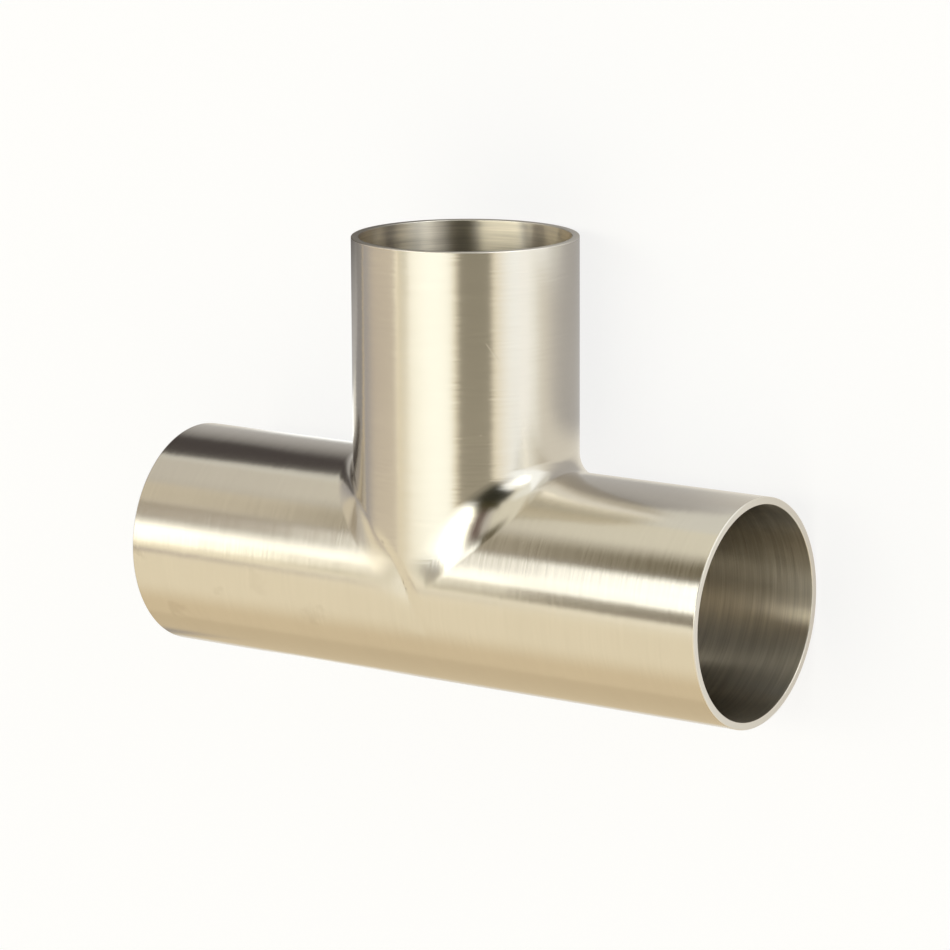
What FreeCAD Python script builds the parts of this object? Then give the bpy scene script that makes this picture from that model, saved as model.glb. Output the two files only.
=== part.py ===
import FreeCAD, Part
import math
import os
from FreeCAD import Vector

# Long weld tee for sanitary tubing: one piece of thin tube with three equal, straight legs.
# The run lies along X, the branch points along +Y, and the origin is where their centrelines cross.
# Z is up. The tee lies on its side, as it comes to rest on a bench, and touches z = -tube_od / 2
# along the run and along the branch. Lengths are in millimetres, angles in radians.

# Driving dimensions
tube_od = 50.8               # outside diameter of every leg, to suit 2 inch tube
wall = 1.65                  # wall thickness, the same all over
run_centre_to_end = 76.2     # from the branch centreline to each end of the run
branch_centre_to_end = 76.2  # from the run centreline to the end of the branch
crotch_radius = 3.0          # outside radius of the blend between run and branch
rim_chamfer = 0.25           # broken edges of the weld ends, inside and outside

# Values that only serve the modelling
join_tolerance = 1e-4        # the swept blend follows its true curve about ten times closer
spine_overrun = 0.12         # how far the swept ball runs on past the tip of each web
cavity_overrun = 1.0         # how far the cavity runs out of each end, so that it cuts cleanly

origin = Vector(0, 0, 0)


def round_bar(radius, start, end):
    """A solid round bar between two points."""
    axis = end - start
    return Part.makeCylinder(radius, axis.Length, start, axis)


def rolling_ball(centre_radius, ball_radius):
    """The space that a ball sweeps when it rolls along the corner at +X, touching both legs.

    Its centre keeps the same distance from both centrelines, so its path is half an ellipse
    in the plane y = x. The tips of the path stand over the crossing of the centrelines.
    """
    at_crotch = Vector(centre_radius, centre_radius, 0)
    over_crossing = Vector(0, 0, centre_radius)
    half_turn = math.pi / 2 + spine_overrun
    spine = Part.ArcOfEllipse(Part.Ellipse(at_crotch, over_crossing, origin), -half_turn, half_turn).toShape()
    start = spine.valueAt(spine.FirstParameter)
    heading = spine.tangentAt(spine.FirstParameter)
    section = Part.Wire([Part.makeCircle(ball_radius, start, heading)])
    return Part.Wire([spine]).makePipeShell([section], True, False)


def crotch_web(leg_radius, ball_radius):
    """The metal between the legs at +X, under the rolling ball.

    The ball touches each leg along a line that lies in a plane through the Z axis. The web is
    the wedge between those two planes, less the space of the ball. It is widest at the crotch
    and narrows to nothing at the two tips, where the legs run into each other smoothly.
    """
    centre_radius = leg_radius + ball_radius
    beyond_ball = 2
    contact_on_run = Vector(centre_radius, leg_radius, 0) * beyond_ball
    contact_on_branch = Vector(leg_radius, centre_radius, 0) * beyond_ball
    down = Vector(0, 0, -centre_radius * beyond_ball)
    corner = Part.makePolygon([down, contact_on_run + down, contact_on_branch + down, down])
    wedge = Part.Face(corner).extrude(down * -2)
    pieces = wedge.cut(rolling_ball(centre_radius, ball_radius)).Solids
    return min(pieces, key=lambda piece: piece.CenterOfMass.Length)


def solid_tee(leg_radius, ball_radius, overrun):
    """Two crossing bars with a blended crotch on each side, as one solid."""
    run_end = Vector(run_centre_to_end + overrun, 0, 0)
    branch_end = Vector(0, branch_centre_to_end + overrun, 0)
    run = round_bar(leg_radius, -run_end, run_end)
    branch = round_bar(leg_radius, origin, branch_end)
    web = crotch_web(leg_radius, ball_radius)
    opposite_web = web.mirror(origin, Vector(1, 0, 0))
    joined = run.fuse([branch, web, opposite_web], join_tolerance)
    return joined.removeSplitter().Solids[0]


def weld_tee():
    """The tee itself: the outer form less a cavity that keeps the wall even round the blend."""
    outside_radius = tube_od / 2
    outer_form = solid_tee(outside_radius, crotch_radius, 0)
    cavity = solid_tee(outside_radius - wall, crotch_radius + wall, cavity_overrun)
    body = outer_form.cut(cavity).Solids[0]
    rims = [edge for edge in body.Edges if edge.Curve.TypeId == "Part::GeomCircle"]
    return body.makeChamfer(rim_chamfer, rims)


os.makedirs("parts", exist_ok=True)
weld_tee().exportStep("parts/tee_body.step")
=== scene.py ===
import math

import bpy
import numpy as np
from mathutils import Matrix, Vector


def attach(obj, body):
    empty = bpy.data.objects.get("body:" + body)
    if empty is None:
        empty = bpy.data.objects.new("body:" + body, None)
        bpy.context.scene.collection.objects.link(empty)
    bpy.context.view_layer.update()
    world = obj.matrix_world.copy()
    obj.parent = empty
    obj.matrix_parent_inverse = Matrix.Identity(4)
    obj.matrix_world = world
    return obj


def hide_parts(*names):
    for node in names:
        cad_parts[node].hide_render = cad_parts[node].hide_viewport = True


# A long weld tee of satin stainless tube, lying on its side on a pale floor. Metres throughout.
# The run lies along X, the branch points along +Y, and Z is up.

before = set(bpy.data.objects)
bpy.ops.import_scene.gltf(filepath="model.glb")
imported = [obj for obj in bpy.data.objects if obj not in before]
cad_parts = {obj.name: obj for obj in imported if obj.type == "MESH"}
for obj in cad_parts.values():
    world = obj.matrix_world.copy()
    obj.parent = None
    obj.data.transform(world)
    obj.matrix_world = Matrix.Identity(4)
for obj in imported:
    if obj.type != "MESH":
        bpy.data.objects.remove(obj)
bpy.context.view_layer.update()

# The tube, as in the part's source
LEG_RADIUS = 0.0254        # outside
WALL = 0.00165
LEG_LENGTH = 0.0762        # from the crossing of the centrelines to each end
CROTCH_RADIUS = 0.003      # outside
RIM_ROUND = 0.00025

# How much wider the blend gets towards the front and back, on the +X and the -X side:
# at the tips, and on the way to them
SPREAD = {1: (0.0016, 0.0085), -1: (0.0016, 0.0008)}

# The shallow crease from the branch's left corner down over the front of the run
CREASE = (-0.000425, -0.01462, -0.4678, 1.465)     # x in mm as a cubic of y in mm
CREASE_ENDS = (-0.0102, -0.0042, 0.0059, 0.0139)   # where along y it fades in and out
CREASE_DEPTH = 0.00036
CREASE_SQUARE = 0.88                               # the distance square to it, for each step along x
CREASE_LEFT, CREASE_RIGHT = 0.0066, 0.0030         # how far its two slopes reach
CREASE_BOTTOM = 9e-8                               # rounds its bottom, in square metres
SLOPE_STEP = 2e-5                                  # the step over which its slope is taken

# Mesh fineness
HOOP_STEPS = 192           # over half a turn
LEG_STEPS = 36
INNER_LEG_STEPS = 10
BLEND_STEPS = 16
FLAT_STEPS = 6
RIM_STEPS = 4
GRADING = 1.6              # how much closer the steps of a leg get towards the blend
WELD_DISTANCE = 1e-7


class MeshParts:
    """Grids of points with their normals, brush directions and face materials, gathered into one mesh."""

    def __init__(self):
        self.points, self.normals, self.brush, self.lay = [], [], [], []
        self.faces, self.materials = [], []
        self.count = 0

    def add_grid(self, points, normals, brush, lay, material=0):
        rows, columns = points.shape[:2]
        index = self.count + np.arange(rows * columns).reshape(rows, columns)
        quads = np.stack([index[:-1, :-1], index[:-1, 1:], index[1:, 1:], index[1:, :-1]], -1).reshape(-1, 4)
        one_way = points[1:, 1:] - points[:-1, :-1]
        other_way = points[1:, :-1] - points[:-1, 1:]
        if (np.cross(one_way, other_way) * normals[:-1, :-1]).sum() < 0:
            quads = quads[:, ::-1]
        self.points.append(points.reshape(-1, 3))
        self.normals.append(normals.reshape(-1, 3))
        self.brush.append(brush.reshape(-1, 3))
        self.lay.append(lay.reshape(-1))
        self.faces.append(quads)
        self.materials.append(np.full(len(quads), material))
        self.count += rows * columns

    def build(self, name):
        points = np.concatenate(self.points)
        keys = np.round(points / WELD_DISTANCE).astype(np.int64)
        _, first, welded = np.unique(keys, axis=0, return_index=True, return_inverse=True)
        sources = np.concatenate(self.faces)
        quads = welded.reshape(-1)[sources]
        faces, face_materials, corners = [], [], []
        for quad, source, material in zip(quads, sources, np.concatenate(self.materials)):
            keep = [i for i in range(4) if quad[i] != quad[i - 1]]  # a side of no length is left out
            if len(keep) >= 3:
                faces.append([int(quad[i]) for i in keep])
                face_materials.append(int(material))
                corners.extend(int(source[i]) for i in keep)
        mesh = bpy.data.meshes.new(name)
        mesh.from_pydata(points[first].tolist(), [], faces)
        mesh.polygons.foreach_set("material_index", face_materials)
        mesh.polygons.foreach_set("use_smooth", [True] * len(faces))
        corners = np.array(corners)
        for label, values, kind, field in (
            ("brush", self.brush, "FLOAT_VECTOR", "vector"),
            ("lay", self.lay, "FLOAT", "value"),
        ):
            layer = mesh.attributes.new(label, kind, "CORNER")
            layer.data.foreach_set(field, np.concatenate(values)[corners].astype(np.float32).ravel())
        mesh.update()
        normals = np.concatenate(self.normals)[corners]
        mesh.normals_split_custom_set([tuple(normal) for normal in normals])
        mesh.update()
        return mesh


def unit(vectors):
    return vectors / np.maximum(np.linalg.norm(vectors, axis=-1, keepdims=True), 1e-12)


def stack(*parts):
    return np.stack(np.broadcast_arrays(*parts), -1)


def blend_width(turn, side):
    """How far the outside blend runs out along each leg, from the corner where the bare legs would cross."""
    tip, middle = SPREAD[side]
    c = np.cos(turn)
    return CROTCH_RADIUS + tip * np.abs(c) + middle * c * c * np.sin(turn)


def blend_slope(turn, side):
    """How fast that width changes with the angle."""
    tip, middle = SPREAD[side]
    s, c = np.sin(turn), np.cos(turn)
    return -tip * np.sign(c) * s + middle * (c ** 3 - 2 * c * s * s)


def blend_arc(radius, extra, turn, share, side):
    """Points and outward normals of the crotch blend, both as on the +X side.

    turn is the angle round the legs from +Z, and share goes from the run (0) to the branch (1).
    At each height the blend is a quarter circle that both legs run into.
    """
    s, c = np.sin(turn), np.cos(turn)
    width = blend_width(turn, side) + extra
    across, along = np.sin(share * math.pi / 2), np.cos(share * math.pi / 2)
    corner = radius * s + width
    points = stack(corner - width * across, corner - width * along, radius * c)
    rise = radius * c * (across + along) + blend_slope(turn, side) * ((1 - across) * across + (1 - along) * along)
    return points, unit(stack(radius * s * across, radius * s * along, rise))


def crease_depth(x, y):
    """How deep the crease is at a place on the front: gentle on its left, steep on its right."""
    low, low_full, high_full, high = CREASE_ENDS
    off = (x - np.polyval(CREASE, np.clip(y, low, high) * 1000) / 1000) * CREASE_SQUARE
    reach = np.where(off < 0, CREASE_LEFT, CREASE_RIGHT)
    side = np.clip(1 - np.sqrt(off * off + CREASE_BOTTOM) / reach, 0, 1) ** 2
    along = np.clip((y - low) / (low_full - low), 0, 1) * np.clip((high - y) / (high - high_full), 0, 1)
    return CREASE_DEPTH * side * along * along * (3 - 2 * along)


def creased(points, normals):
    """The same surface with the crease pressed into its front."""
    x, y, front = points[..., 0], points[..., 1], points[..., 2] > 0
    step = SLOPE_STEP
    slope_x = (crease_depth(x + step, y) - crease_depth(x - step, y)) / (2 * step) * front
    slope_y = (crease_depth(x, y + step) - crease_depth(x, y - step)) / (2 * step) * front
    gradient = stack(slope_x, slope_y, 0 * slope_x)
    gradient = gradient - (gradient * normals).sum(-1, keepdims=True) * normals
    depth = crease_depth(x, y) * front
    return points - depth[..., None] * normals, unit(normals + gradient)


def rim_profile(radius, inner, end):
    """A round from the outside of a leg over its end face to the inside: (radius, length, normal) rows."""
    r = RIM_ROUND
    rows = []
    for i in range(RIM_STEPS + 1):
        a = math.pi / 2 * i / RIM_STEPS
        rows.append((radius - r + r * math.cos(a), end - r + r * math.sin(a), math.cos(a), math.sin(a)))
    for i in range(RIM_STEPS + 1):
        a = math.pi / 2 * (1 - i / RIM_STEPS)
        rows.append((inner + r - r * math.cos(a), end - r + r * math.sin(a), -math.cos(a), math.sin(a)))
    return np.array(rows)


def add_wall(parts, inside):
    """The outside of the tee, or its bores, up to where the ends begin to round."""
    radius = LEG_RADIUS - (WALL if inside else 0)
    extra = WALL if inside else 0
    face = -1 if inside else 1
    end = LEG_LENGTH - RIM_ROUND
    half = np.linspace(0, math.pi, HOOP_STEPS + 1)
    under = np.linspace(-math.pi, 0, HOOP_STEPS + 1)
    leg_shares = np.linspace(0, 1, (INNER_LEG_STEPS if inside else LEG_STEPS) + 1) ** GRADING
    blend_shares = np.linspace(0, 1, BLEND_STEPS + 1)
    flat_shares = np.linspace(0, 1, FLAT_STEPS + 1)

    def add(points, normals, brush, lay):
        if not inside:
            points, normals = creased(points, normals)
        parts.add_grid(points, normals, brush, lay + inside)

    for side in (1, -1):
        mirror = np.array([side, 1, 1])
        flat = float(blend_width(0.0, side)) + extra
        # the side of the run away from the branch
        steps = np.concatenate([flat * flat_shares[:-1], flat + (end - flat) * leg_shares])
        turn, x = np.meshgrid(under, steps, indexing="ij")
        s, c = np.sin(turn), np.cos(turn)
        add(stack(x, radius * s, radius * c) * mirror, stack(0 * s, s, c) * face, stack(0 * s, c, -s), x)
        # the two legs, each from the blend to its end
        turn, share = np.meshgrid(half, leg_shares, indexing="ij")
        s, c = np.sin(turn), np.cos(turn)
        start = radius * s + blend_width(turn, side) + extra
        out = start + (end - start) * share
        add(stack(out, radius * s, radius * c) * mirror, stack(0 * s, s, c) * face, stack(0 * s, c, -s), out)
        points = stack(radius * s, out, radius * c) * mirror
        add(points, stack(s, 0 * s, c) * mirror * face, stack(c, 0 * s, -s) * mirror, out)
        # the blend between them
        turn, share = np.meshgrid(half, blend_shares, indexing="ij")
        points, normals = blend_arc(radius, extra, turn, share, side)
        s, c = np.sin(turn), np.cos(turn)
        brush = unit(stack(c * share, c * (1 - share), -s)) * mirror
        width = blend_width(turn, side) + extra
        lay = radius * s + width - width * math.pi / 4 * (1 - np.abs(2 * share - 1))
        add(points * mirror, normals * mirror * face, brush, lay)
        # the flat spots at the front and back, where the two legs meet
        for turn_here in (0.0, math.pi):
            share, inner_share = np.meshgrid(blend_shares, flat_shares, indexing="ij")
            rim, _ = blend_arc(radius, extra, np.array(turn_here), share, side)
            points = rim * stack(inner_share, inner_share, 1)
            normals = np.zeros_like(points)
            normals[..., 2] = math.cos(turn_here) * face
            brush = unit(stack(share, 1 - share, 0 * share)) * mirror
            add(points * mirror, normals, brush, np.hypot(points[..., 0], points[..., 1]))


def add_ends(parts):
    """The three end faces with their rounded edges."""
    profile = rim_profile(LEG_RADIUS, LEG_RADIUS - WALL, LEG_LENGTH)
    half_turn = np.linspace(0, math.pi, HOOP_STEPS + 1)
    whole_turn = np.concatenate([np.linspace(-math.pi, 0, HOOP_STEPS + 1)[:-1], half_turn])
    turn, row = np.meshgrid(whole_turn, np.arange(len(profile)), indexing="ij")
    s, c = np.sin(turn), np.cos(turn)
    r, along, out, forward = (profile[row][..., i] for i in range(4))
    for side in (1, -1):
        mirror = np.array([side, 1, 1])
        points = stack(along, r * s, r * c) * mirror
        normals = stack(forward, out * s, out * c) * mirror
        parts.add_grid(points, normals, stack(0 * s, c, -s), r, 1)
    parts.add_grid(stack(r * s, along, r * c), stack(out * s, forward, out * c), stack(c, 0 * s, -s), r, 1)


def tee_mesh():
    parts = MeshParts()
    add_wall(parts, False)
    add_wall(parts, True)
    add_ends(parts)
    return parts.build("tee")


# Node helpers

def new_material(name):
    material = bpy.data.materials.new(name)
    material.use_nodes = True
    tree = material.node_tree
    tree.nodes.clear()
    return material, tree


def add_node(tree, kind, settings=None, **inputs):
    """A node with its settings and inputs. An input goes by its name, or by i and its number."""
    node = tree.nodes.new(kind)
    for key, value in (settings or {}).items():
        setattr(node, key, value)
    for key, value in inputs.items():
        numbered = key[0] == "i" and key[1:].isdigit()
        socket = node.inputs[int(key[1:]) if numbered else key.replace("_", " ")]
        if isinstance(value, bpy.types.NodeSocket):
            tree.links.new(value, socket)
        else:
            socket.default_value = value
    return node


def finish_with(tree, kind, shader):
    tree.links.new(shader, add_node(tree, kind).inputs[0])


def calc(tree, operation, a, b=0.0, c=0.0):
    return add_node(tree, "ShaderNodeMath", {"operation": operation}, i0=a, i1=b, i2=c).outputs[0]


def times(tree, first, *others):
    for other in others:
        first = calc(tree, "MULTIPLY", first, other)
    return first


def smooth(tree, value, low, high, to_low=0.0, to_high=1.0):
    """A soft step from to_low, where the value is low, to to_high, where it is high."""
    settings = {"interpolation_type": "SMOOTHSTEP"}
    node = add_node(tree, "ShaderNodeMapRange", settings, i0=value, i1=low, i2=high, i3=to_low, i4=to_high)
    return node.outputs[0]


def mix_value(tree, share, a, b):
    return add_node(tree, "ShaderNodeMix", None, i0=share, i2=a, i3=b).outputs[0]


def mix_colour(tree, share, a, b, blend="MIX"):
    node = add_node(tree, "ShaderNodeMix", {"data_type": "RGBA", "blend_type": blend})
    for index, value in ((0, share), (6, a), (7, b)):
        if isinstance(value, bpy.types.NodeSocket):
            tree.links.new(value, node.inputs[index])
        else:
            node.inputs[index].default_value = value if index == 0 else (*value, 1)
    return node.outputs[2]


def vector_node(tree, operation, *vectors, **inputs):
    inputs.update((f"i{index}", vector) for index, vector in enumerate(vectors))
    return add_node(tree, "ShaderNodeVectorMath", {"operation": operation}, **inputs)


def vector_calc(tree, operation, *vectors):
    return vector_node(tree, operation, *vectors).outputs[0]


def scaled(tree, vector, factor):
    return vector_node(tree, "SCALE", vector, Scale=factor).outputs[0]


def separated(tree, vector):
    return add_node(tree, "ShaderNodeSeparateXYZ", None, i0=vector).outputs


def surface_inputs(tree):
    """The mesh's own lay and brush attributes, and the place and the normal."""
    lay = add_node(tree, "ShaderNodeAttribute", {"attribute_name": "lay"}).outputs["Fac"]
    brush = add_node(tree, "ShaderNodeAttribute", {"attribute_name": "brush"}).outputs["Vector"]
    place = add_node(tree, "ShaderNodeTexCoord").outputs["Object"]
    normal = add_node(tree, "ShaderNodeNewGeometry").outputs["Normal"]
    return lay, brush, place, normal


def streaks(tree, place, lay, pitch, length):
    """Three unlike streaky noises, -0.5 to 0.5, that run round the leg: pitch apart and about length long."""
    slow = scaled(tree, place, 1.0 / length)
    step = calc(tree, "MULTIPLY", lay, 1.0 / pitch)
    noise = add_node(
        tree, "ShaderNodeTexNoise", {"noise_dimensions": "4D"},
        Vector=slow, W=step, Scale=1.0, Detail=1.0, Roughness=0.55)
    split = add_node(tree, "ShaderNodeSeparateColor", None, i0=noise.outputs["Color"])
    return [calc(tree, "SUBTRACT", out, 0.5) for out in split.outputs[:3]]


def tilted(tree, normal, brush, round_tilt, axial_tilt):
    """The normal, leaned round the leg and along it."""
    axial = vector_calc(tree, "CROSS_PRODUCT", normal, brush)
    lean = vector_calc(tree, "ADD", scaled(tree, brush, round_tilt), scaled(tree, axial, axial_tilt))
    return vector_calc(tree, "NORMALIZE", vector_calc(tree, "ADD", normal, lean))


def pits(tree, place, scale, share, near, far):
    """1 in the middle of a pit, falling to 0 from near to far. Only this share of the cells has one."""
    cells = add_node(tree, "ShaderNodeTexVoronoi", None, Vector=place, Scale=scale, Randomness=1.0)
    pick = add_node(tree, "ShaderNodeSeparateColor", None, i0=cells.outputs["Color"]).outputs[0]
    rare = calc(tree, "GREATER_THAN", pick, 1.0 - share)
    return times(tree, smooth(tree, cells.outputs["Distance"], near, far, 1.0, 0.0), rare)


def spot(tree, place, centre, radius):
    """1 at a point of the surface, falling to 0 at the given distance."""
    distance = vector_node(tree, "DISTANCE", place, centre).outputs["Value"]
    return smooth(tree, distance, radius * 0.3, radius, 1.0, 0.0)


def hairline(tree, place, start, end, width):
    """1 on a straight scratch between two points, falling to 0 at its sides."""
    way = [b - a for a, b in zip(start, end)]
    length = sum(d * d for d in way)
    offset = vector_calc(tree, "SUBTRACT", place, start)
    along = calc(tree, "DIVIDE", vector_node(tree, "DOT_PRODUCT", offset, way).outputs["Value"], length)
    along = add_node(tree, "ShaderNodeClamp", None, i0=along).outputs[0]
    nearest = vector_calc(tree, "ADD", scaled(tree, way, along), start)
    return smooth(tree, vector_node(tree, "DISTANCE", place, nearest).outputs["Value"], 0.0, width, 1.0, 0.0)


# The satin finish. Pitches, lengths and places in metres, tilts as slopes
HAIR = (0.00024, 0.010)                  # the fine brush lines: pitch and length
LINE = (0.0008, 0.022)                   # the coarser ones
HAIR_ROUND, HAIR_AXIAL = 0.055, 0.040    # how far the fine ones tilt the surface round the leg and along it
LINE_ROUND, LINE_AXIAL = 0.006, 0.005
ROUGHNESS, STRETCH = 0.181, 0.633
LINE_ROUGHNESS, SCRATCH_ROUGHNESS = 0.008, 0.08
# What the bore adds: to the fine lines' axial tilt as a multiple, to the coarser ones', to roughness and stretch
BORE_HAIR, BORE_LINE, BORE_ROUGHNESS, BORE_STRETCH = 3.0, 0.04, 0.121, 0.364
# What the run's legs, finished more smoothly, take off: of the fine lines' two tilts, roughness and stretch
LEG_ROUND, LEG_AXIAL, LEG_ROUGHNESS, LEG_STRETCH = -0.022, -0.014, -0.022, -0.32
# What the crossed brushing left of the crease does to roughness and stretch
CROSSED_ROUGHNESS, CROSSED_STRETCH = 0.075, -0.63

STEEL_DARK, STEEL_LIGHT = (0.672, 0.628, 0.549), (0.728, 0.682, 0.601)
HAIR_DARK, HAIR_LIGHT = (0.965, 0.965, 0.965), (1.035, 1.035, 1.035)
SMUDGE_COLOUR = (0.42, 0.37, 0.30)
SMUDGE_STRENGTH = 1.5
SMUDGE_RAGGED = 0.009                    # how far the noise moves a smudge's edge
LINE_SHADE, HAIR_SHADE = 0.45, 0.30      # how much the lines show in the bore's painted shade
BORE_SHADE_TINT = (0.985, 0.95)                # the painted shade's green and blue against its red

# Where things change over the surface: from and to in metres, and for the bores their painted shade at both
ALONG_LEG = (0.022, 0.040)               # the smoother finish comes in along the run
BELOW_BRANCH = (0.018, 0.028)            # and goes out towards the branch
BRANCH_BORE = (0.022, 0.030)             # the run's bore becomes the branch's
RUN_BORE_PAINTED_SHADE = (0.008, 0.024, 1.07, 0.47)       # painted shade, darker towards its top and bottom
BRANCH_BORE_PAINTED_SHADING = (0.062, 0.0745, 0.36, 1.25)   # painted light and shade, lighter at its mouth and darker away from it

# Where the brushing is crossed, in mm: to the left of the crease, just over it, and its two ends along y
CROSSED_LEFT, CROSSED_RIGHT = (-17.0, -2.0), (-0.6, 0.6)
CROSSED_LOW, CROSSED_HIGH = (-10.0, -2.0), (6.0, 14.0)

# Small marks on the outside, in metres: specks, smudges and hairlines
SPECKS = (
    ((0.0171, 0.0357, 0.0188), 0.00022), ((-0.0082, 0.0142, 0.0240), 0.00026),
    ((0.0297, 0.0140, 0.0212), 0.00030), ((0.0476, -0.0063, 0.0246), 0.00020),
    ((-0.0404, 0.0219, 0.0130), 0.00022), ((-0.0195, 0.0270, 0.0163), 0.00020),
    ((-0.0223, 0.0202, 0.0154), 0.00022),
)
SMUDGES = (
    ((-0.0662, -0.0129, 0.0219), 0.0035, 0.22), ((-0.0257, -0.0083, 0.0240), 0.0030, 0.16),
    ((-0.0515, -0.0067, 0.0245), 0.0022, 0.12), ((-0.0405, -0.0028, 0.0252), 0.0026, 0.10),
    ((-0.0751, -0.0001, 0.0254), 0.0020, 0.30),
)
HAIRLINES = (
    ((-0.0568, 0.0246, 0.0065), (-0.0571, 0.0256, 0.0), 0.00018),
    ((0.0180, 0.0560, 0.0179), (0.0200, 0.0520, 0.0157), 0.00014),
    ((-0.0404, -0.0045, 0.0250), (-0.0371, -0.0029, 0.0252), 0.00014),
)


def crease_side(tree, spread):
    """1 just left of the crease on the front, falling to 0 further left, at its ends and right of it."""
    x, y = (calc(tree, "MULTIPLY", spread[index], 1000.0) for index in (0, 1))
    middle = CREASE[0]
    for factor in CREASE[1:]:
        middle = calc(tree, "MULTIPLY_ADD", middle, y, factor)
    off = calc(tree, "SUBTRACT", x, middle)
    side = times(tree, smooth(tree, off, *CROSSED_LEFT), smooth(tree, off, *CROSSED_RIGHT, 1.0, 0.0))
    along = times(tree, smooth(tree, y, *CROSSED_LOW), smooth(tree, y, *CROSSED_HIGH, 1.0, 0.0))
    return times(tree, side, along, calc(tree, "GREATER_THAN", spread[2], 0.0))


def bore_painted_shade(tree, spread, lay, hair, line):
    """Painted light and shade for the bore, as a factor on its colour: darker deeper in and towards its top and
    bottom, lighter at the branch's mouth. Lines show more in it than on the outside.
    """
    in_run = smooth(tree, calc(tree, "ABSOLUTE", spread[1]), *RUN_BORE_PAINTED_SHADE)
    in_branch = smooth(tree, lay, *BRANCH_BORE_PAINTED_SHADING)
    depth_share = mix_value(tree, smooth(tree, spread[1], *BRANCH_BORE), in_run, in_branch)
    grooves = calc(tree, "MULTIPLY_ADD", hair[1], HAIR_SHADE, 1.0)
    grooves = calc(tree, "MULTIPLY_ADD", line[1], LINE_SHADE, grooves)
    painted_shade = times(tree, depth_share, grooves)
    green, blue = (times(tree, painted_shade, tint) for tint in BORE_SHADE_TINT)
    return add_node(tree, "ShaderNodeCombineColor", None, i0=painted_shade, i1=green, i2=blue).outputs[0]


def satin_metal():
    """The brushed tube, outside and in. The lay attribute is 1 more in the bore than on the outside."""
    material, tree = new_material("satin_stainless")
    lay_in, brush, place, normal = surface_inputs(tree)
    inside = calc(tree, "GREATER_THAN", lay_in, 0.5)
    outside = calc(tree, "SUBTRACT", 1.0, inside)
    lay = calc(tree, "SUBTRACT", lay_in, inside)
    spread = separated(tree, place)
    # two sizes of brush line, both running round the leg
    hair = streaks(tree, place, lay, *HAIR)
    line = streaks(tree, place, lay, *LINE)
    # the run's two legs are finished more smoothly than the rest of the outside
    on_leg = smooth(tree, calc(tree, "ABSOLUTE", spread[0]), *ALONG_LEG)
    finer = times(tree, on_leg, smooth(tree, spread[1], *BELOW_BRANCH, 1.0, 0.0), outside)
    # left of the crease the brushing crosses, and so spreads the light more widely
    crossed = times(tree, crease_side(tree, spread), outside)
    # the bore is machined a little more coarsely than the outside is brushed
    coarse = calc(tree, "MULTIPLY_ADD", inside, BORE_HAIR, 1.0)
    hair_round = calc(tree, "MULTIPLY_ADD", finer, LEG_ROUND, HAIR_ROUND)
    hair_axial = calc(tree, "MULTIPLY_ADD", finer, LEG_AXIAL, HAIR_AXIAL)
    line_axial = calc(tree, "MULTIPLY_ADD", inside, BORE_LINE, LINE_AXIAL)
    round_tilt = calc(tree, "ADD", times(tree, hair[0], hair_round), times(tree, line[0], LINE_ROUND))
    axial_tilt = calc(tree, "ADD", times(tree, hair[1], hair_axial, coarse), times(tree, line[1], line_axial))
    leaned = tilted(tree, normal, brush, round_tilt, axial_tilt)
    # tiny pits, one to every few centimetres, the specks that the photo shows, and the hairlines
    pit = pits(tree, place, 95.0, 0.20, 0.004, 0.016)
    for centre, radius in SPECKS:
        pit = calc(tree, "MAXIMUM", pit, spot(tree, place, centre, radius))
    scratch = 0.0
    for start, end, width in HAIRLINES:
        scratch = calc(tree, "MAXIMUM", scratch, hairline(tree, place, start, end, width))
    height = calc(tree, "SUBTRACT", times(tree, pit, -1.0), times(tree, scratch, 0.5))
    bump = add_node(tree, "ShaderNodeBump", None, Strength=0.35, Distance=0.00004, Height=height, Normal=leaned)
    # the colour drifts a little from place to place and from line to line
    drift = add_node(tree, "ShaderNodeTexNoise", None, Vector=place, Scale=42.0, Detail=3.0, Roughness=0.55)
    drift = drift.outputs[0]
    colour = mix_colour(tree, drift, STEEL_DARK, STEEL_LIGHT)
    darker = mix_colour(tree, 1.0, colour, HAIR_DARK, "MULTIPLY")
    lighter = mix_colour(tree, 1.0, colour, HAIR_LIGHT, "MULTIPLY")
    colour = mix_colour(tree, calc(tree, "MULTIPLY_ADD", hair[2], 0.9, 0.5), darker, lighter)
    # painted light and shade in the bore: darker deeper in and towards its top and bottom, lighter at the
    # branch's mouth
    shaded_bore = mix_colour(tree, 1.0, colour, bore_painted_shade(tree, spread, lay, hair, line), "MULTIPLY")
    colour = mix_colour(tree, inside, colour, shaded_bore)
    # a few faint smudges with ragged edges dull it
    waver = add_node(tree, "ShaderNodeTexNoise", None, Vector=place, Scale=230.0, Detail=2.0).outputs["Color"]
    waver = scaled(tree, vector_calc(tree, "SUBTRACT", waver, (0.5, 0.5, 0.5)), SMUDGE_RAGGED)
    ragged = vector_calc(tree, "ADD", place, waver)
    for centre, radius, depth in SMUDGES:
        here = times(tree, spot(tree, ragged, centre, radius), times(tree, drift, SMUDGE_STRENGTH * depth))
        colour = mix_colour(tree, here, colour, SMUDGE_COLOUR)
    roughness = calc(tree, "MULTIPLY_ADD", line[2], LINE_ROUGHNESS, ROUGHNESS)
    stretch = STRETCH
    for share, rougher, longer in (
        (inside, BORE_ROUGHNESS, BORE_STRETCH),
        (scratch, SCRATCH_ROUGHNESS, None),
        (crossed, CROSSED_ROUGHNESS, CROSSED_STRETCH),
        (finer, LEG_ROUGHNESS, LEG_STRETCH),
    ):
        roughness = calc(tree, "MULTIPLY_ADD", share, rougher, roughness)
        if longer is not None:
            stretch = calc(tree, "MULTIPLY_ADD", share, longer, stretch)
    shader = add_node(
        tree, "ShaderNodeBsdfPrincipled", None, Metallic=1.0, Roughness=roughness, Anisotropic=stretch,
        Anisotropic_Rotation=0.25, Tangent=brush, Normal=bump.outputs[0], Base_Color=colour)
    finish_with(tree, "ShaderNodeOutputMaterial", shader.outputs[0])
    return material


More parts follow.
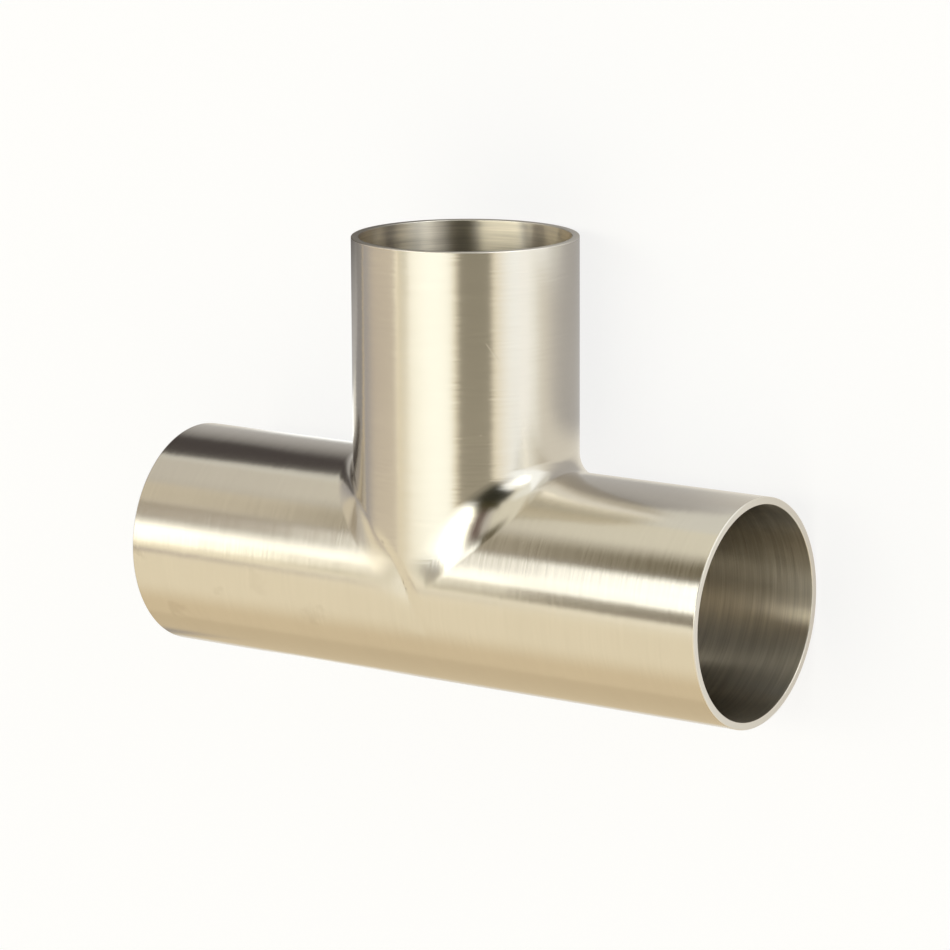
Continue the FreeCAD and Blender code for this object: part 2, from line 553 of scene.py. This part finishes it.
# The faced ends
RING = (0.00018, 0.015)                  # the turned rings: pitch and length
RING_ROUND, RING_AXIAL = 0.08, 0.20      # how far they tilt the surface along themselves and across
RIM_ROUGHNESS, RING_ROUGHNESS, EDGE_ROUGHNESS = 0.42, 0.08, -0.10
EDGE_WIDTH = 0.0003
RIM_COLOUR, EDGE_HIGHLIGHT_COLOUR, PIT_COLOUR = (0.66, 0.62, 0.56), (0.74, 0.70, 0.63), (0.3, 0.27, 0.23)


def rim_metal():
    """Fine turned rings, and both edges of the face a little smoother, with a painted highlight along them."""
    material, tree = new_material("faced_stainless")
    radius, brush, place, normal = surface_inputs(tree)
    ring = streaks(tree, place, radius, *RING)
    leaned = tilted(tree, normal, brush, times(tree, ring[0], RING_ROUND), times(tree, ring[1], RING_AXIAL))
    off_middle = calc(tree, "ABSOLUTE", calc(tree, "SUBTRACT", radius, LEG_RADIUS - WALL / 2))
    edge_band = smooth(tree, off_middle, WALL / 2 - EDGE_WIDTH, WALL / 2)
    pit = pits(tree, place, 160.0, 0.15, 0.01, 0.035)
    height = times(tree, pit, -1.0)
    bump = add_node(tree, "ShaderNodeBump", None, Strength=0.5, Distance=0.00005, Height=height, Normal=leaned)
    # a painted highlight: a lighter colour along both edges of the face
    colour = mix_colour(tree, edge_band, RIM_COLOUR, EDGE_HIGHLIGHT_COLOUR)
    colour = mix_colour(tree, times(tree, pit, 0.5), colour, PIT_COLOUR)
    roughness = calc(tree, "MULTIPLY_ADD", ring[2], RING_ROUGHNESS, RIM_ROUGHNESS)
    roughness = calc(tree, "MULTIPLY_ADD", edge_band, EDGE_ROUGHNESS, roughness)
    shader = add_node(
        tree, "ShaderNodeBsdfPrincipled", None, Metallic=1.0, Roughness=roughness,
        Normal=bump.outputs[0], Base_Color=colour)
    finish_with(tree, "ShaderNodeOutputMaterial", shader.outputs[0])
    return material


FLOOR_COLOUR = (0.95, 0.95, 0.94, 1)
FLOOR_WHITE = 0.8          # how much of the floor is plain white to the camera and in reflections


def floor_material():
    """A pale floor that still takes the tee's shadow."""
    material, tree = new_material("pale_floor")
    diffuse = add_node(tree, "ShaderNodeBsdfDiffuse", None, Color=FLOOR_COLOUR)
    glow = add_node(tree, "ShaderNodeEmission", None, Strength=1.0)
    path = add_node(tree, "ShaderNodeLightPath").outputs
    seen = calc(tree, "MAXIMUM", path["Is Camera Ray"], path["Is Glossy Ray"])
    seen = calc(tree, "MAXIMUM", seen, path["Is Transmission Ray"])
    share = times(tree, seen, FLOOR_WHITE)
    mixed = add_node(tree, "ShaderNodeMixShader", None, i0=share, i1=diffuse.outputs[0], i2=glow.outputs[0])
    finish_with(tree, "ShaderNodeOutputMaterial", mixed.outputs[0])
    return material


def soft_box(tree, p, q, bounds):
    """1 inside a box of two coordinates, falling to 0 over soft edges. None is an open side."""
    low, high, edge, q_low, q_high, q_edge, slope = bounds
    if slope:
        q = calc(tree, "SUBTRACT", q, times(tree, p, slope))
    share = None
    for value, bound, soft, start, finish in (
        (p, low, edge, 0.0, 1.0), (p, high, edge, 1.0, 0.0),
        (q, q_low, q_edge, 0.0, 1.0), (q, q_high, q_edge, 1.0, 0.0),
    ):
        if bound is not None:
            step = smooth(tree, value, bound - soft, bound + soft, start, finish)
            share = step if share is None else times(tree, share, step)
    return share


# The studio round the tee, each panel over those before it. The first number of a row tells its two angles:
# 0 is the turn about Y (0 is up, + towards +X) and the lift towards +Y, which suit the branch, and
# 1 is the roll about X (0 is up, + towards +Y) and the lean towards +X, which suit the run.
# Then come the first angle's from, to and soft edge, the second's from, to and soft edge, how fast the
# second slopes with the first, and the colour. Angles in degrees, and None is an open side.
STUDIO_BASE = (0.68, 0.65, 0.60)
PANELS = (
    (1, None, 4.1, 3, None, None, 0, 0, (1.01, 0.92, 0.72)),  # table
    (1, None, -60.7, 14, None, None, 0, 0, (0.84, 0.71, 0.50)),  # low table
    (0, None, -38.1, 2, -11.3, -8.8, 2, 0, (0.03, 0.00, 0.14)),  # left wall
    (0, None, -79.7, 12, -37.6, 39.7, 6, 0, (0.45, 0.44, 0.45)),  # left edge
    (1, 40.8, None, 3, -35, None, 4, 0, (0.92, 0.89, 0.76)),  # right upper
    (0, -48.9, 25, 2, 20.9, 31.6, 2, 0.09, (0.06, 0.00, 0.00)),  # above dark
    (1, 23.8, 58.5, 10, -34.2, -17, 4, 0, (0.06, 0.04, 0.00)),  # line
    (0, -34.2, 21.8, 5, -24.1, 6.7, 14, -0.56, (1.42, 1.46, 1.37)),  # window
    (1, 13.8, 34.6, 4, -33.2, -24.7, 3, 0, (2.42, 2.49, 2.42)),  # window left
    (1, 22, 38, 3, None, -35.5, 3, 0, (0.46, 0.40, 0.31)),  # left above
    (1, 38, 60, 4, None, -35, 3, 0, (0.82, 0.75, 0.61)),  # left high
    (0, -32.3, 29.9, 2, -2.4, 18.1, 2, -0.04, (1.47, 1.53, 1.55)),  # window core
    (0, -27, 20, 4, 5, 16, 3, 0, (5.2, 5.1, 4.3)),  # window glow
    (1, -7, 5.8, 2, -36, -24.5, 3.5, 0, (0.08, 0.05, 0.02)),  # gap
    (1, -10, 0, 4, -40, -37, 2.5, 0, (1.75, 1.65, 1.28)),  # left below
    (1, -4, 15, 5, -40.8, -37.5, 2.4, 0, (4.0, 4.0, 3.6)),  # left glow
    (0, 26.8, 61.6, 4, -16.6, 27.3, 2, 0, (0.31, 0.29, 0.23)),  # front dark
    (0, 15.2, 43.4, 5, 13.2, 46, 3, -0.06, (0.04, 0.03, 0.00)),  # front black
    (0, 29, 57, 4, 3, 50, 5, 0, (0.02, 0.02, 0.01)),  # mouth dark
    (0, 70.7, None, 14, -14.9, 53.4, 6, 0, (1.29, 1.36, 1.41)),  # right box
    (0, 55.1, 115, 7, 17.1, 40.4, 5, 0, (1.50, 1.55, 1.58)),  # right core
    (0, 74, 120, 8, 27, 42, 5, 0, (6.0, 6.0, 5.6)),  # right glow
    (0, 26.4, None, 8, 57.6, None, 7, 0, (1.08, 1.10, 1.04)),  # high right
)

# The cards that lie on the floor out of the camera's sight, as for the panels but without the first number:
# x and then y, in millimetres
CARD_BASE = (0.86, 0.83, 0.76)
CARD_FIELDS = (
    (None, None, 0, None, -50, 4, 0.01, (0.74, 0.62, 0.43)),  # south
    (102, None, 30, None, 74, 38, 0, (1.07, 1.08, 1.02)),  # south east
    (155, None, 86, None, None, 0, 0, (1.24, 1.26, 1.26)),  # far east
    (None, -115, 12, -81, 78, 20, 0, (0.34, 0.33, 0.33)),  # west
    (-77, -40, 10, -43, 36, 12, 0, (1.35, 1.38, 1.38)),  # west near
    (-164, 57, 26, 29, None, 4, 0, (0.54, 0.53, 0.52)),  # north
    (-110, 57, 30, 140, None, 30, 0, (0.88, 0.80, 0.62)),  # far north
    (None, -90, 8, 68, 190, 10, 0, (0.01, 0.01, 0.00)),  # north west
    (69, None, 44, 63, None, 6, 0, (1.33, 1.39, 1.43)),  # north east
    (None, -3, 48, 56, 527, 27, 0, (0.08, 0.07, 0.07)),  # dark
    (None, 52, 4, 107, None, 9, -0.76, (0.84, 0.84, 0.79)),  # dark north
)
FLOOR_HALF = 4.0
CARD_LIFT = 0.00005        # keeps the cards off the floor


def studio_world():
    """The panels, and plain white to the camera."""
    world = bpy.data.worlds.new("studio")
    bpy.context.scene.world = world
    world.use_nodes = True
    tree = world.node_tree
    tree.nodes.clear()
    x, y, z = separated(tree, add_node(tree, "ShaderNodeTexCoord").outputs["Generated"])
    turn, lift, roll, lean = (
        times(tree, calc(tree, *angle), 180 / math.pi)
        for angle in (("ARCTAN2", x, z), ("ARCSINE", y), ("ARCTAN2", y, z), ("ARCSINE", x))
    )
    angles = ((turn, lift), (roll, lean))
    colour = STUDIO_BASE
    for kind, *bounds, panel in PANELS:
        colour = mix_colour(tree, soft_box(tree, *angles[kind], bounds), colour, panel)
    path = add_node(tree, "ShaderNodeLightPath").outputs
    colour = mix_colour(tree, path["Is Camera Ray"], colour, (1, 1, 1))
    glow = add_node(tree, "ShaderNodeBackground", None, Color=colour, Strength=1.0)
    finish_with(tree, "ShaderNodeOutputWorld", glow.outputs[0])
    world.cycles.sampling_method = "MANUAL"
    world.cycles.sample_map_resolution = 512


def card_material():
    material, tree = new_material("studio_cards")
    place = add_node(tree, "ShaderNodeTexCoord").outputs["Object"]
    x, y, _ = separated(tree, scaled(tree, place, 1000.0))
    colour = CARD_BASE
    for *bounds, field in CARD_FIELDS:
        colour = mix_colour(tree, soft_box(tree, x, y, bounds), colour, field)
    glow = add_node(tree, "ShaderNodeEmission", None, Color=colour, Strength=1.0)
    finish_with(tree, "ShaderNodeOutputMaterial", glow.outputs[0])
    return material


def flat_square(name, height, material):
    h = FLOOR_HALF
    mesh = bpy.data.meshes.new(name)
    mesh.from_pydata([(-h, -h, 0), (h, -h, 0), (h, h, 0), (-h, h, 0)], [], [(0, 1, 2, 3)])
    square = bpy.data.objects.new(name, mesh)
    square.location.z = height
    bpy.context.scene.collection.objects.link(square)
    mesh.materials.append(material)
    return square


tee = bpy.data.objects.new("tee", tee_mesh())
bpy.context.scene.collection.objects.link(tee)
tee.data.materials.append(satin_metal())
tee.data.materials.append(rim_metal())
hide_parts("tee_body")
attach(tee, "root")

flat_square("floor", -LEG_RADIUS, floor_material())
cards = flat_square("cards", -LEG_RADIUS + CARD_LIFT, card_material())
cards.visible_camera = False
cards.visible_diffuse = False
cards.visible_shadow = False

studio_world()

# The camera, as fitted to the outline of the photograph: its lens, its three directions and its place
camera_data = bpy.data.cameras.new("camera")
camera_data.lens = 169.31
camera_data.sensor_width = 36.0
camera_data.clip_start = 0.01
camera = bpy.data.objects.new("camera", camera_data)
bpy.context.scene.collection.objects.link(camera)
across = Vector((0.82045224, -0.00455539, -0.57169692))
upward = Vector((-0.11102554, 0.97966182, -0.16714082))
back = Vector((0.56083104, 0.20060402, 0.80325997))
camera.matrix_world = Matrix((
    (across.x, upward.x, back.x, 0.56339998),
    (across.y, upward.y, back.y, 0.22284953),
    (across.z, upward.z, back.z, 0.80358593),
    (0, 0, 0, 1),
))
bpy.context.scene.camera = camera

bpy.context.scene.view_settings.view_transform = "Standard"
